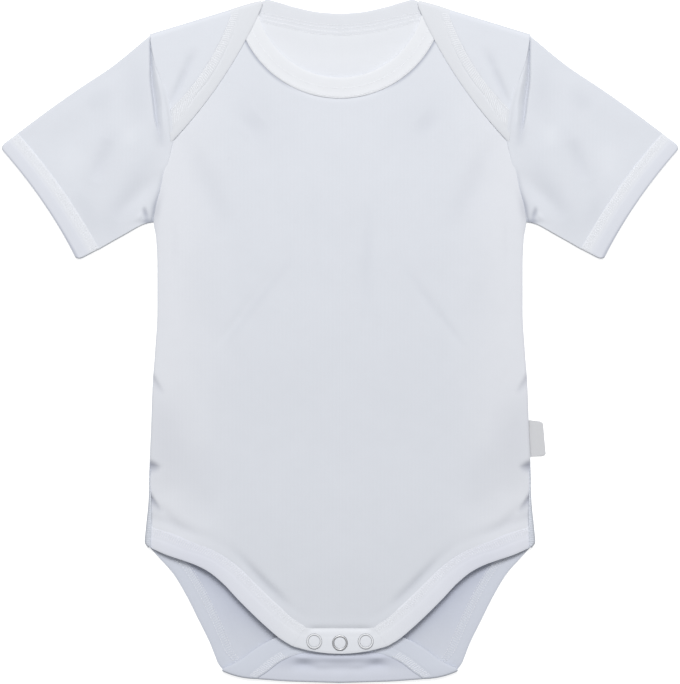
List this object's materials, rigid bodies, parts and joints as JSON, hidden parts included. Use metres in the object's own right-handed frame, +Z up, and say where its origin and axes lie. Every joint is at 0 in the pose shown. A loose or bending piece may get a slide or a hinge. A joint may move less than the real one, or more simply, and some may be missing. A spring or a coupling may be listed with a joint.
{
  "type": "baby onesie",
  "caption": "Short-sleeved baby bodysuit with lap shoulders, bound neck and leg openings and a snap crotch, laid flat.",
  "frame": {"origin": "on the surface it lies on, under the middle of the garment", "axes": "+Z up, +Y towards the neck, +X towards the wearer's left"},
  "size_m": [0.4276, 0.4298, 0.0079],
  "materials": {
    "cotton_body": "white cotton interlock knit, matt with a slight nap",
    "cotton_band": "white cotton rib binding folded double, with twin-needle stitching in white thread",
    "snap_metal": "open-ring press stud, nickel plated, with a white painted rim",
    "label_woven": "white woven tape, bare"
  },
  "bodies": {
    "root": {"back_panel": "cotton_body", "front_panel": "cotton_body", "sleeve_left": "cotton_body", "sleeve_right": "cotton_body", "sleeve_band_left": "cotton_band", "sleeve_band_right": "cotton_band", "neck_band_front": "cotton_band", "neck_band_back": "cotton_band", "leg_band_left": "cotton_band", "leg_band_right": "cotton_band", "front_tab": "cotton_band", "back_tab": "cotton_band", "snap_cap_1": "snap_metal", "snap_cap_2": "snap_metal", "snap_cap_3": "snap_metal", "snap_stud_1": "snap_metal", "snap_stud_2": "snap_metal", "snap_stud_3": "snap_metal", "side_label": "label_woven"}
  },
  "joints": []
}
